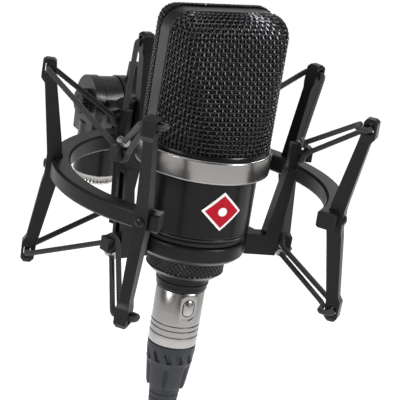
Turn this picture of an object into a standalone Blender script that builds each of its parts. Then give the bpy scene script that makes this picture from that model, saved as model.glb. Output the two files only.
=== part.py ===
"""A large-diaphragm condenser microphone in its elastic suspension, with its cable plug.

Lengths are in millimetres and become metres in the helpers. The microphone stands upright with its
front towards -Y. The origin is the middle of the threaded socket's mouth, where a stand's stud enters.
Most pieces are described round the microphone's own axis, from the lower edge of its bright ring.
"""
import math

import bmesh
import bpy
from mathutils import Matrix, Vector

MM = 0.001
GAP = 0.3  # between faces that touch

# Where the microphone's axis and the swivel lie, from the origin
AXIS_BACK = 92.0  # socket axis to microphone axis
DATUM_UP = 40.0  # socket mouth to the lower edge of the bright ring
SWIVEL_Z = -6.0  # the swivel's axis, from the datum

# Microphone
BODY_R = 22.0
BODY_BOTTOM = -25.0
RING_R = 26.0
RING_TOP = 9.0
HEAD_FOOT = 9.4
HEAD_TOP = 60.2
HEAD_HALF_WIDTH = 24.0
HEAD_FOOT_DEPTH = 24.6
HEAD_TOP_DEPTH = 12.5
HEAD_CORNER = 8.0
STRIP_HALF = 3.7  # half the width of the strip between the two grilles
WALL = 1.0
CAPSULE_Z = 37.0
CAPSULE_R = 13.0
STUB_R = 10.0
STUB_BOTTOM = -50.0
BORE_R = STUB_R + 0.4

# Cradle
COLLAR_R = 21.5
COLLAR_TOP, COLLAR_BOTTOM = -27.0, -34.4
NUT_R = 15.1
NUT_BOTTOM = -43.0
INNER_AZIMUTHS = {"left": -77.8, "right": 77.8, "rear_left": -146.2, "rear_right": 146.2}
UPRIGHT_WIDTH = 6.2
NECK_R = 1.5
UPPER_NECK_R, UPPER_NECK_Z = 38.8, 7.0
LOWER_NECK_R, LOWER_NECK_Z = 36.6, -29.1
KNOB_WIDTH, KNOB_HEIGHT = 5.0, 5.4

# Outer ring and its struts
OUTER_R, INNER_R = 56.7, 49.3
BAND_TOP, BAND_BOTTOM = -4.8, -11.6
BAND_Z = (BAND_TOP + BAND_BOTTOM) / 2
OPENING = 40.0  # half of the ring's open front, in degrees
OUTER_AZIMUTHS = {"front_left": -46.5, "left": -112.9, "rear": 180.0, "right": 112.9, "front_right": 46.5}
STRUT_WIDE = 5.2
STRUT_IN, STRUT_OUT = 52.7, 58.4  # where a strut crosses the ring
UPPER_SLOT_R, UPPER_SLOT_Z = 62.2, 29.2
LOWER_SLOT_R, LOWER_SLOT_Z = 60.8, -44.2
SLOT_WIDE, SLOT_TALL = 2.6, 4.2
SCREW_R, SCREW_HEAD_R = 1.0, 1.7
CORD_R = 1.0

# Swivel and stand socket
TONGUE_HALF, TONGUE_R = 4.0, 10.5
CHEEK_IN, CHEEK_OUT, CHEEK_R = 4.4, 8.6, 11.0
BOLT_R = 2.3
CUP_R, CUP_TOP, CUP_BOTTOM = 9.3, -17.0, -36.0
SOCKET_R = 4.8  # clears a 3/8 inch stud

# Cable plug
PLUG_R = 9.5
PLUG_TOP, PLUG_BOTTOM = -50.4, -73.2
NOSE_R, NOSE_TOP = 7.9, -33.0
PIN_CIRCLE, PIN_R, PIN_HOLE_R = 3.4, 1.15, 1.5
LATCH_Z = -56.4
BOOT_BOTTOM, SLEEVE_BOTTOM = -92.0, -106.0

for leftover in list(bpy.data.objects):
    bpy.data.objects.remove(leftover, do_unlink=True)

parts = bpy.data.collections.new("condenser_microphone")
cutters = bpy.data.collections.new("cutters")
for group in (parts, cutters):
    bpy.context.scene.collection.children.link(group)


def empty(name, location):
    marker = bpy.data.objects.new(name, None)
    marker.location = Vector(location) * MM
    parts.objects.link(marker)
    return marker


mic_axis = empty("mic_axis", (0, -AXIS_BACK, DATUM_UP))
swivel_axis = empty("swivel_axis", (0, 0, DATUM_UP + SWIVEL_Z))
socket_axis = empty("socket_axis", (0, 0, DATUM_UP))


def material(name, colour, metallic, roughness):
    made = bpy.data.materials.new(name)
    made.use_nodes = True
    shader = made.node_tree.nodes["Principled BSDF"]
    shader.inputs["Base Color"].default_value = (*colour, 1)
    shader.inputs["Metallic"].default_value = metallic
    shader.inputs["Roughness"].default_value = roughness
    made.diffuse_color = (*colour, 1)
    return made


BLACK_METAL = material("black_metal", (0.03, 0.03, 0.035), 0.6, 0.4)
BLACK_PLASTIC = material("black_plastic", (0.025, 0.025, 0.028), 0.0, 0.45)
SATIN_NICKEL = material("satin_nickel", (0.8, 0.79, 0.77), 1.0, 0.25)
RUBBER = material("rubber", (0.02, 0.02, 0.02), 0.0, 0.8)
ELASTIC = material("elastic", (0.03, 0.03, 0.03), 0.0, 0.9)
BOARD_GREEN = material("board_green", (0.03, 0.2, 0.08), 0.0, 0.5)
BRASS = material("brass", (0.8, 0.6, 0.25), 1.0, 0.3)
BADGE_RED = material("badge_red", (0.6, 0.02, 0.06), 0.0, 0.35)


def to_metres(bm):
    bmesh.ops.scale(bm, vec=(MM, MM, MM), verts=bm.verts)


def mesh_of(name, bm):
    to_metres(bm)
    bmesh.ops.recalc_face_normals(bm, faces=bm.faces)
    mesh = bpy.data.meshes.new(name)
    bm.to_mesh(mesh)
    bm.free()
    mesh.shade_smooth()
    mesh.set_sharp_from_angle(angle=math.radians(35))
    return mesh


def place(name, mesh, finish, parent, azimuth=0.0, group=parts):
    thing = bpy.data.objects.new(name, mesh)
    if finish:
        mesh.materials.clear()
        mesh.materials.append(finish)
    thing.parent = parent
    thing.rotation_euler.z = math.radians(azimuth)
    group.objects.link(thing)
    return thing


def box_mesh(name, low, high):
    bm = bmesh.new()
    size = [b - a for a, b in zip(low, high)]
    middle = [(a + b) / 2 for a, b in zip(low, high)]
    bmesh.ops.create_cube(bm, size=1.0, matrix=Matrix.Translation(middle) @ Matrix.Diagonal((*size, 1)))
    return mesh_of(name, bm)


def rod_mesh(name, radius, start, end, sides=24):
    """A solid cylinder from start to end."""
    start, end = Vector(start), Vector(end)
    turn = (end - start).to_track_quat("Z", "Y").to_matrix().to_4x4()
    bm = bmesh.new()
    bmesh.ops.create_cone(bm, cap_ends=True, segments=sides, radius1=radius, radius2=radius,
                          depth=(end - start).length, matrix=Matrix.Translation((start + end) / 2) @ turn)
    return mesh_of(name, bm)


def prism_mesh(name, outline, half, axis="x"):
    """An outline, (forward, up) or (across, up), given thickness 2 * half across it."""
    bm = bmesh.new()
    if axis == "x":
        corners = [bm.verts.new((-half, -r, z)) for r, z in outline]
        step = Vector((2 * half, 0, 0))
    else:
        corners = [bm.verts.new((x, -half, z)) for x, z in outline]
        step = Vector((0, 2 * half, 0))
    face = bm.faces.new(corners)
    grown = bmesh.ops.extrude_face_region(bm, geom=[face])
    moved = [v for v in grown["geom"] if isinstance(v, bmesh.types.BMVert)]
    bmesh.ops.translate(bm, verts=moved, vec=step)
    return mesh_of(name, bm)


def turned(name, profile, finish, parent, steps=32, closed=True):
    """Turns a profile of (radius, height) points, run down its outer side first, about Z."""
    mesh = bpy.data.meshes.new(name)
    count = len(profile)
    edges = [(i, i + 1) for i in range(count - 1)] + ([(count - 1, 0)] if closed else [])
    mesh.from_pydata([(r * MM, 0, z * MM) for r, z in profile], edges, [])
    thing = place(name, mesh, finish, parent)
    screw = thing.modifiers.new("turn", "SCREW")
    screw.steps = screw.render_steps = steps
    screw.use_merge_vertices = True
    screw.merge_threshold = 1e-6
    return thing


def solid_turned(name, profile, finish, parent, steps=32):
    """The same for a profile that starts and ends on the axis."""
    return turned(name, profile, finish, parent, steps, closed=False)


def combine(thing, mesh, operation, parent, azimuth=0.0):
    """A Boolean with a hidden tool that stands where its own parent and azimuth put it."""
    tool = place(mesh.name, mesh, None, parent, azimuth, cutters)
    tool.hide_render = True
    tool.display_type = "WIRE"
    change = thing.modifiers.new(operation.lower(), "BOOLEAN")
    change.operation = operation
    change.solver = "EXACT"
    change.object = tool


def bevel(thing, width, angle=40):
    edge = thing.modifiers.new("edges", "BEVEL")
    edge.width = width * MM
    edge.segments = 1
    edge.limit_method = "ANGLE"
    edge.angle_limit = math.radians(angle)


def finished_mesh(thing):
    """The object's mesh with its modifiers done, to be shared by its copies."""
    bpy.context.view_layer.update()
    seen = thing.evaluated_get(bpy.context.evaluated_depsgraph_get())
    mesh = bpy.data.meshes.new_from_object(seen)
    mesh.name = thing.name
    return mesh


def repeat(thing, prefix, azimuths, finish, parent):
    mesh = finished_mesh(thing)
    bpy.data.objects.remove(thing, do_unlink=True)
    for place_name, azimuth in azimuths.items():
        place(prefix + place_name, mesh, finish, parent, azimuth)


def polar(r, azimuth, z, sideways=0.0):
    """A point at radius r and azimuth from the front, moved sideways along the circle's tangent."""
    a = math.radians(azimuth)
    return Vector((r * math.sin(a) + sideways * math.cos(a), -r * math.cos(a) + sideways * math.sin(a), z))


# ---- microphone: shell, ring and socket -------------------------------------------------------

def make_body():
    outer = [(BODY_R - 0.6, -0.1), (BODY_R, -0.6), (BODY_R, -22.6), (BODY_R - 0.5, -23.0), (BODY_R, -23.4),
             (BODY_R - 1.2, BODY_BOTTOM)]
    inner = [(BORE_R, BODY_BOTTOM), (BORE_R, -23.0), (BODY_R - 2, -23.0), (BODY_R - 2, -0.1)]
    turned("body_shell", outer + inner, BLACK_METAL, mic_axis, 48)
    band = [(RING_R - 0.5, RING_TOP), (RING_R, RING_TOP - 0.5), (RING_R, 0.7), (RING_R - 0.5, 0.2),
            (21.5, 0.2), (21.5, RING_TOP)]
    turned("bright_ring", band, SATIN_NICKEL, mic_axis, 48)
    plate = [(21.1, 5.0), (21.1, 1.0), (4.0, 1.0), (4.0, 5.0)]
    turned("head_base", plate, BLACK_METAL, mic_axis, 32)
    stub = [(13.0, -20.6), (13.0, -22.6), (STUB_R, -22.6), (STUB_R, STUB_BOTTOM + 0.5),
            (STUB_R - 0.5, STUB_BOTTOM),
            (8.3, STUB_BOTTOM), (8.3, -20.6)]
    turned("output_stub", stub, BLACK_METAL, mic_axis, 32)


def make_connector_insert():
    disc = solid_turned("pin_carrier", [(0, -26.0), (7.9, -26.0), (7.9, -30.0), (0, -30.0)], BLACK_PLASTIC,
                        mic_axis, 24)
    for number, azimuth in enumerate((60.0, -60.0, 180.0)):
        x, y, _ = polar(PIN_CIRCLE, azimuth, 0)
        combine(disc, rod_mesh(f"pin_{number}", PIN_R, (x, y, -28.0), (x, y, -43.0), 12), "UNION", mic_axis)


def make_board():
    place("circuit_board", box_mesh("circuit_board", (-17, 3.0, -19.4), (17, 4.6, -0.6)), BOARD_GREEN,
          mic_axis)
    place("coupling_capacitor", rod_mesh("coupling_capacitor", 4.0, (7, 0.5, -11), (7, -12.0, -11), 20),
          BRASS, mic_axis)


# ---- microphone: head -------------------------------------------------------------------------

def head_section(height):
    """Height, share of the full width, and depth of the leaning front, at a share of the head's height."""
    z = HEAD_FOOT + (HEAD_TOP - HEAD_FOOT) * height
    rise = max(0.0, z - (HEAD_TOP - HEAD_CORNER)) / HEAD_CORNER
    narrow = 1 - HEAD_CORNER / HEAD_HALF_WIDTH * (1 - math.sqrt(max(0.0, 1 - rise * rise)))
    lean = HEAD_FOOT_DEPTH + (HEAD_TOP_DEPTH - HEAD_FOOT_DEPTH) * height
    edge = STRIP_HALF + GAP
    depth = edge + 0.2 + (lean - edge - 0.2) * math.sqrt(max(0.0, 1 - rise ** 2.4))
    return z, narrow, depth


def grille_mesh(name, across=22, crease=20):
    """The front half's outer surface: a round section cut off by the leaning front, its crease softened."""
    bm = bmesh.new()
    rows = []
    edge = STRIP_HALF + GAP
    radius = HEAD_HALF_WIDTH - 0.2
    start = math.acos(edge / radius)
    for share in (0, 0.25, 0.5, 0.7, 0.84, 0.9, 0.94, 0.97, 0.99, 0.999):
        z, narrow, depth = head_section(share)
        row = []
        for i in range(across + 1):
            turn = start * (2 * i / across - 1)
            r = (radius ** -crease + (math.cos(turn) / depth) ** crease) ** (-1 / crease)
            row.append(bm.verts.new((r * math.sin(turn) * narrow, min(-edge, -r * math.cos(turn)), z)))
        rows.append(row)
    for low, high in zip(rows, rows[1:]):
        for i in range(across):
            bm.faces.new((low[i], low[i + 1], high[i + 1], high[i]))
    return mesh_of(name, bm)


def make_head():
    front = place("front_grille", grille_mesh("front_grille"), BLACK_METAL, mic_axis)
    rear = place("rear_grille", grille_mesh("rear_grille"), BLACK_METAL, mic_axis, 180)
    for half in (front, rear):
        skin = half.modifiers.new("wall", "SOLIDIFY")
        skin.thickness = WALL * MM
        skin.offset = -1.0
    corner = [(HEAD_HALF_WIDTH - HEAD_CORNER * (1 - math.cos(a)),
               HEAD_TOP - HEAD_CORNER * (1 - math.sin(a)))
              for a in (math.radians(15 * i) for i in range(7))]
    outer = [(HEAD_HALF_WIDTH, HEAD_FOOT), *corner]
    outer += [(-x, z) for x, z in reversed(outer)]
    inner = [(x - math.copysign(1.4, x) if z < HEAD_TOP - 1 or abs(x) > 17 else x, min(z, HEAD_TOP - 1.4))
             for x, z in reversed(outer)]
    place("head_strip", prism_mesh("head_strip", outer + inner, STRIP_HALF, "y"), BLACK_METAL, mic_axis)


def make_capsule():
    ring = place("capsule", rod_mesh("capsule", CAPSULE_R, (0, -3.0, CAPSULE_Z), (0, 3.0, CAPSULE_Z), 32),
                 BRASS, mic_axis)
    bevel(ring, 0.6)
    post = place("capsule_mount", box_mesh("capsule_mount", (-6, -3.4, 5.3), (6, 3.4, 28.0)), RUBBER,
                 mic_axis)
    combine(post, rod_mesh("capsule_seat", CAPSULE_R + GAP, (0, -5, CAPSULE_Z), (0, 5, CAPSULE_Z), 32),
            "DIFFERENCE", mic_axis)


def make_badge():
    """A thin rhombus bent round the front of the body."""
    plate = turned("badge", [(BODY_R + 1.0, -1), (BODY_R + 1.0, -20), (BODY_R + GAP, -20),
                             (BODY_R + GAP, -1)],
                   BADGE_RED, mic_axis, 72)
    rhombus = [(-8.0, -11.2), (0, -18.8), (8.0, -11.2), (0, -3.6)]
    outline = prism_mesh("badge_outline", rhombus, 10, "y")
    outline.transform(Matrix.Translation((0, -(BODY_R + 5) * MM, 0)))
    combine(plate, outline, "INTERSECT", mic_axis)


# ---- cradle -----------------------------------------------------------------------------------

def make_cradle():
    collar = [(COLLAR_R - 0.6, COLLAR_TOP), (COLLAR_R, COLLAR_TOP - 0.6), (COLLAR_R, -32.6),
              (19.6, COLLAR_BOTTOM),
              (BORE_R, COLLAR_BOTTOM), (BORE_R, COLLAR_TOP)]
    turned("basket_collar", collar, BLACK_PLASTIC, mic_axis, 40)
    washer = [(20.4, BODY_BOTTOM - GAP), (20.4, COLLAR_TOP + GAP), (BORE_R, COLLAR_TOP + GAP),
              (BORE_R, BODY_BOTTOM - GAP)]
    turned("seat_washer", washer, RUBBER, mic_axis, 32)
    nut = [(NUT_R - 0.5, COLLAR_BOTTOM - GAP), (NUT_R, -35.4), (NUT_R, NUT_BOTTOM + 1.4),
           (NUT_R - 1.6, NUT_BOTTOM),
           (BORE_R, NUT_BOTTOM), (BORE_R, COLLAR_BOTTOM - GAP)]
    turned("clamp_nut", nut, BLACK_METAL, mic_axis, 40)


def make_uprights():
    """An arm from the collar that turns up into a post, with a knob for the elastic at each end."""
    foot = [(COLLAR_R + GAP, COLLAR_BOTTOM), (34.4, COLLAR_BOTTOM), (37.4, 1.0), (33.8, 1.0), (29.2, -26.2),
            (COLLAR_R + GAP, -26.2)]
    post = place("upright", prism_mesh("upright", foot, UPRIGHT_WIDTH / 2), None, mic_axis)
    combine(post, box_mesh("upright_head", (-1.7, -37.5, 0.0), (1.7, -34.0, 11.0)), "UNION", mic_axis)
    groove = prism_mesh("upright_groove", [(33.6, -25.0), (39.0, -25.0), (39.0, -1.0), (35.4, -1.0)], 1.3)
    combine(post, groove, "DIFFERENCE", mic_axis)
    for level, r, z, start in (("upper", UPPER_NECK_R, UPPER_NECK_Z, 37.0),
                               ("lower", LOWER_NECK_R, LOWER_NECK_Z, 34.0)):
        knob = r + CORD_R + GAP + 0.1
        combine(post, rod_mesh(level + "_neck", NECK_R, (0, -start, z), (0, -knob - 0.5, z), 12), "UNION",
                mic_axis)
        combine(post, box_mesh(level + "_knob", (-KNOB_WIDTH / 2, -knob - 2.4, z - KNOB_HEIGHT / 2),
                               (KNOB_WIDTH / 2, -knob, z + KNOB_HEIGHT / 2)), "UNION", mic_axis)
    repeat(post, "upright_", INNER_AZIMUTHS, BLACK_PLASTIC, mic_axis)


# ---- outer ring, struts and elastic -----------------------------------------------------------

# A strut from its top to its bottom: height, inner radius, outer radius and half width
STRUT_LEVELS = [
    (32.9, 60.3, 63.4, 1.8), (31.8, 59.4, 64.6, 2.6), (25.6, 58.8, 64.6, 2.6), (23.4, 58.3, 62.9, 2.0),
    (-1.5, 53.0, 58.8, 2.4), (BAND_TOP + 0.6, STRUT_IN, STRUT_OUT, 2.6),
    (BAND_BOTTOM - 0.8, STRUT_IN, STRUT_OUT, 2.6),
    (-15.0, 53.2, 59.0, 2.4), (-38.0, 57.1, 61.9, 2.0), (-40.4, 57.6, 63.2, 2.6), (-46.6, 57.9, 63.0, 2.6),
    (-48.3, 59.2, 61.8, 1.8)]


def loft_mesh(name, levels):
    """A bar lofted through rectangular sections, closed at both ends."""
    bm = bmesh.new()
    rows = []
    for z, near, far, half in levels:
        corners = ((-half, -near, z), (half, -near, z), (half, -far, z), (-half, -far, z))
        rows.append([bm.verts.new(corner) for corner in corners])
    for upper, lower in zip(rows, rows[1:]):
        for i in range(4):
            j = (i + 1) % 4
            bm.faces.new((upper[i], upper[j], lower[j], lower[i]))
    bm.faces.new(rows[0])
    bm.faces.new(rows[-1])
    return mesh_of(name, bm)


def make_struts():
    mesh = loft_mesh("strut", STRUT_LEVELS)
    strut = place("strut", mesh, None, mic_axis)
    for level, r, z in (("upper", UPPER_SLOT_R, UPPER_SLOT_Z), ("lower", LOWER_SLOT_R, LOWER_SLOT_Z)):
        low = (-5, -r - SLOT_WIDE / 2, z - SLOT_TALL / 2)
        high = (5, -r + SLOT_WIDE / 2, z + SLOT_TALL / 2)
        combine(strut, box_mesh(level + "_slot", low, high), "DIFFERENCE", mic_axis)
    hole = rod_mesh("strut_hole", SCREW_R + GAP, (0, -50, BAND_Z), (0, -62, BAND_Z), 12)
    combine(strut, hole, "DIFFERENCE", mic_axis)
    repeat(strut, "strut_", OUTER_AZIMUTHS, BLACK_METAL, mic_axis)


def make_screws():
    for place_name, azimuth in OUTER_AZIMUTHS.items():
        head = place("screw_" + place_name, rod_mesh("screw", SCREW_HEAD_R, (0, -STRUT_OUT - GAP, BAND_Z),
                     (0, -STRUT_OUT - GAP - 0.7, BAND_Z), 16), BLACK_METAL, mic_axis, azimuth)
        combine(head, rod_mesh("shank", SCREW_R, (0, -50.6, BAND_Z), (0, -STRUT_OUT - 0.6, BAND_Z), 16),
                "UNION", mic_axis, azimuth)


def make_ring():
    edge = 0.8
    profile = [(OUTER_R - edge, BAND_TOP), (OUTER_R, BAND_TOP - edge), (OUTER_R, BAND_BOTTOM + edge),
               (OUTER_R - edge, BAND_BOTTOM), (INNER_R + edge, BAND_BOTTOM), (INNER_R, BAND_BOTTOM + edge),
               (INNER_R, BAND_TOP - edge), (INNER_R + edge, BAND_TOP)]
    ring = turned("outer_ring", profile, BLACK_METAL, mic_axis, 72)
    side = math.tan(math.radians(OPENING)) * 80
    bm = bmesh.new()
    wedge = bm.faces.new([bm.verts.new(p) for p in ((0, 0, -20), (side, -80, -20), (-side, -80, -20))])
    grown = bmesh.ops.extrude_face_region(bm, geom=[wedge])
    top = [v for v in grown["geom"] if isinstance(v, bmesh.types.BMVert)]
    bmesh.ops.translate(bm, verts=top, vec=(0, 0, 25))
    combine(ring, mesh_of("front_opening", bm), "DIFFERENCE", mic_axis)
    notch = STRUT_WIDE / 2 + GAP
    for place_name, azimuth in OUTER_AZIMUTHS.items():
        combine(ring, box_mesh("notch_" + place_name, (-notch, -70, -20), (notch, -STRUT_IN + GAP, 5)),
                "DIFFERENCE", mic_axis, azimuth)
        combine(ring, rod_mesh("hole_" + place_name, SCREW_R + GAP, (0, -50.2, BAND_Z),
                               (0, -60, BAND_Z), 12),
                "DIFFERENCE", mic_axis, azimuth)


def cord_round(outer_r, outer_z, inner_r, inner_z, up):
    """The elastic's way through the outer slots and under or over the inner necks, from end to end."""
    clear = STRUT_WIDE / 2 + CORD_R + 0.5
    beside = KNOB_WIDTH / 2 + CORD_R + 0.4
    reach = NECK_R + CORD_R + GAP

    def past_neck(azimuth):
        turns = [(-beside, 1.0), (-0.8 * beside, -1.4), (-0.4 * beside, -reach + 0.1), (0, -reach),
                 (0.4 * beside, -reach + 0.1), (0.8 * beside, -1.4), (beside, 1.0)]
        return [polar(inner_r, azimuth, inner_z + up * dz, t) for t, dz in turns]

    def through(azimuth):
        return [polar(outer_r, azimuth, outer_z, t) for t in (-clear, -0.5 * clear, 0.5 * clear, clear)]

    def round_end(azimuth, side):
        """Through the end strut's slot, round behind it and back; side is where the strand comes from."""
        back = outer_r - 4.8
        return [polar(outer_r, azimuth, outer_z, side * clear),
                polar(outer_r, azimuth, outer_z, -side * 0.8 * clear),
                polar(outer_r - 0.7, azimuth, outer_z, -side * (clear + 0.5)),
                polar(outer_r - 4.0, azimuth, outer_z, -side * (clear + 0.5)),
                polar(back, azimuth, outer_z, -side * 0.8 * clear),
                polar(back, azimuth, outer_z, side * 0.8 * clear)]

    left, right = INNER_AZIMUTHS["left"], INNER_AZIMUTHS["right"]
    end_z = inner_z + up * (KNOB_HEIGHT / 2 + CORD_R + 0.6)
    route = [polar(inner_r, left, end_z, -1.5), polar(inner_r, left, end_z, 0.5)]
    route += round_end(OUTER_AZIMUTHS["front_left"], -1)
    route += reversed(past_neck(left))
    route += reversed(through(OUTER_AZIMUTHS["left"]))
    route += reversed(past_neck(INNER_AZIMUTHS["rear_left"]))
    route += reversed(through(OUTER_AZIMUTHS["rear"]))
    route += reversed(past_neck(INNER_AZIMUTHS["rear_right"]))
    route += reversed(through(OUTER_AZIMUTHS["right"]))
    route += reversed(past_neck(right))
    route += round_end(OUTER_AZIMUTHS["front_right"], 1)
    route += [polar(inner_r, right, end_z, -0.5), polar(inner_r, right, end_z, 1.5)]
    return route


def make_elastic():
    levels = (("upper_elastic", UPPER_SLOT_R, UPPER_SLOT_Z, UPPER_NECK_R, UPPER_NECK_Z, 1),
              ("lower_elastic", LOWER_SLOT_R, LOWER_SLOT_Z, LOWER_NECK_R, LOWER_NECK_Z, -1))
    for name, outer_r, outer_z, inner_r, inner_z, up in levels:
        route = cord_round(outer_r, outer_z, inner_r, inner_z, up)
        line = bpy.data.curves.new(name, "CURVE")
        line.dimensions = "3D"
        spline = line.splines.new("POLY")
        spline.points.add(len(route) - 1)
        for point, at in zip(spline.points, route):
            point.co = (*(at * MM), 1)
        line.bevel_depth = CORD_R * MM
        line.bevel_resolution = 2
        line.use_fill_caps = True
        line.materials.append(ELASTIC)
        cord = bpy.data.objects.new(name, line)
        cord.parent = mic_axis
        parts.objects.link(cord)


# ---- swivel and stand socket ------------------------------------------------------------------

def make_ring_arm():
    """The arched boss behind the ring, its arm and the tongue that turns between the fork's cheeks."""
    arch = [(13 * math.cos(math.radians(a)), -7 + 13 * math.sin(math.radians(a)))
            for a in range(0, 181, 15)]
    boss = place("ring_arm", prism_mesh("ring_arm", [(13, -15), *arch, (-13, -15)], 6.0, "y"), BLACK_METAL,
                 mic_axis)
    boss.data.transform(Matrix.Translation((0, 59.0 * MM, 0)))
    combine(boss, box_mesh("arm_bar", (-TONGUE_HALF, 62.0, -9.5), (TONGUE_HALF, AXIS_BACK, -2.5)), "UNION",
            mic_axis)
    tongue = rod_mesh("tongue", TONGUE_R, (-TONGUE_HALF, AXIS_BACK, SWIVEL_Z),
                      (TONGUE_HALF, AXIS_BACK, SWIVEL_Z), 32)
    combine(boss, tongue, "UNION", mic_axis)
    combine(boss, rod_mesh("ring_seat", OUTER_R + GAP, (0, 0, -20), (0, 0, 12), 96), "DIFFERENCE", mic_axis)
    channel = STRUT_WIDE / 2 + GAP
    combine(boss, box_mesh("strut_channel", (-channel, 50, -20), (channel, 61.6, 12)), "DIFFERENCE",
            mic_axis)
    bolt = rod_mesh("tongue_bore", BOLT_R + GAP, (-9, AXIS_BACK, SWIVEL_Z), (9, AXIS_BACK, SWIVEL_Z), 20)
    combine(boss, bolt, "DIFFERENCE", mic_axis)


def make_fork():
    """Two round cheeks that rise from the socket's cup, in the swivel's own frame."""
    round_top = [(CHEEK_R * math.cos(math.radians(a)),
                  CHEEK_R * math.sin(math.radians(a)))
                 for a in range(-30, 211, 12)]
    outline = [(-9.0, -14.0), *reversed(round_top), (9.0, -14.0)]
    fork = place("stand_fork", prism_mesh("stand_fork", outline, CHEEK_OUT), BLACK_METAL, swivel_axis)
    low, high = CUP_BOTTOM - SWIVEL_Z, CUP_TOP - SWIVEL_Z + 2
    combine(fork, rod_mesh("cup", CUP_R, (0, 0, low), (0, 0, high), 32), "UNION", swivel_axis)
    combine(fork, box_mesh("fork_gap", (-CHEEK_IN, -15, -11.4), (CHEEK_IN, 15, 15)), "DIFFERENCE",
            swivel_axis)
    combine(fork, rod_mesh("fork_bore", BOLT_R + GAP, (-12, 0, 0), (12, 0, 0), 20), "DIFFERENCE",
            swivel_axis)
    combine(fork, rod_mesh("cup_bore", 7.9, (0, 0, low - 1), (0, 0, low + 14), 32), "DIFFERENCE",
            swivel_axis)


def make_socket_and_bolt():
    insert = [(7.6, -23.0), (7.6, CUP_BOTTOM - GAP), (8.6, CUP_BOTTOM - GAP), (8.6, -39.4), (8.0, -40.0),
              (SOCKET_R, -40.0), (SOCKET_R, -23.0)]
    turned("thread_insert", insert, SATIN_NICKEL, socket_axis, 32)
    bolt = place("clamp_bolt", rod_mesh("clamp_bolt", 5.2, (-12.2, 0, 0), (-CHEEK_OUT - GAP, 0, 0), 24),
                 BLACK_METAL, swivel_axis)
    combine(bolt, rod_mesh("bolt_shank", BOLT_R, (-10, 0, 0), (13.0, 0, 0), 20), "UNION", swivel_axis)
    hub = [(5.0 * math.cos(math.radians(a)), 5.0 * math.sin(math.radians(a))) for a in range(-235, 56, 15)]
    arm = [(3.2, 9.0), (3.4, 16.5), (-1.2, 17.2), (-2.2, 9.0)]
    lever = prism_mesh("clamp_lever", hub + arm, 2.0)
    lever.transform(Matrix.Translation(((CHEEK_OUT + GAP + 2.0) * MM, 0, 0)))
    lever = place("clamp_lever", lever, BLACK_PLASTIC, swivel_axis)
    combine(lever, rod_mesh("lever_bore", BOLT_R + GAP, (5, 0, 0), (20, 0, 0), 20), "DIFFERENCE",
            swivel_axis)


# ---- cable plug -------------------------------------------------------------------------------

def stadium(wide, tall, middle, steps=6):
    """An upright oval with round ends, (across, up), from its half width and half height."""
    outline = []
    for i in range(2 * steps + 2):
        a = math.pi * (i if i <= steps else i - 1) / steps
        rise = (tall - wide) * (1 if i <= steps else -1)
        outline.append((wide * math.cos(a), middle + wide * math.sin(a) + rise))
    return outline


def make_plug():
    shell = [(NOSE_R, NOSE_TOP), (NOSE_R, PLUG_TOP), (PLUG_R, PLUG_TOP), (PLUG_R, PLUG_BOTTOM),
             (8.4, PLUG_BOTTOM),
             (8.4, -54.0), (6.9, -54.0), (6.9, NOSE_TOP)]
    plug = turned("plug_shell", shell, SATIN_NICKEL, mic_axis, 32)
    window = prism_mesh("latch_window", stadium(2.5, 3.6, LATCH_Z), 3.5, "y")
    window.transform(Matrix.Translation((0, -8.5 * MM, 0)))
    combine(plug, window, "DIFFERENCE", mic_axis)
    core = solid_turned("plug_insert", [(0, -33.4), (6.6, -33.4), (6.6, -52.0), (0, -52.0)], BLACK_PLASTIC,
                        mic_axis, 24)
    for number, azimuth in enumerate((60.0, -60.0, 180.0)):
        x, y, _ = polar(PIN_CIRCLE, azimuth, 0)
        combine(core, rod_mesh(f"contact_hole_{number}", PIN_HOLE_R, (x, y, -30.0), (x, y, -46.0), 12),
                "DIFFERENCE", mic_axis)
    button = prism_mesh("latch_button", stadium(2.2, 3.3, LATCH_Z), 1.5, "y")
    button.transform(Matrix.Translation((0, -8.7 * MM, 0)))
    place("latch_button", button, SATIN_NICKEL, mic_axis)
    boot = [(9.3, PLUG_BOTTOM - GAP), (9.3, -77.5), (8.9, -80.0), (7.4, BOOT_BOTTOM), (6.4, BOOT_BOTTOM),
            (7.4, -80.0),
            (7.4, PLUG_BOTTOM - GAP)]
    turned("plug_boot", boot, RUBBER, mic_axis, 32)
    sleeve = [(7.0, -77.0), (7.0, -80.0), (6.0, BOOT_BOTTOM), (4.9, SLEEVE_BOTTOM), (3.2, SLEEVE_BOTTOM),
              (3.2, -77.0)]
    turned("boot_sleeve", sleeve, RUBBER, mic_axis, 24)


make_body()
make_connector_insert()
make_board()
make_head()
make_capsule()
make_badge()
make_cradle()
make_uprights()
make_struts()
make_screws()
make_ring()
make_elastic()
make_ring_arm()
make_fork()
make_socket_and_bolt()
make_plug()
bpy.context.view_layer.update()
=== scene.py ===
"""A condenser microphone in its elastic suspension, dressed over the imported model.

Shapes are worked out in millimetres round the microphone's axis, from the lower edge of its bright
ring, and moved into the row frame by to_row(). Front is -Y and up is +Z.
"""

import math

import bmesh
import bpy
from mathutils import Matrix, Vector


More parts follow.
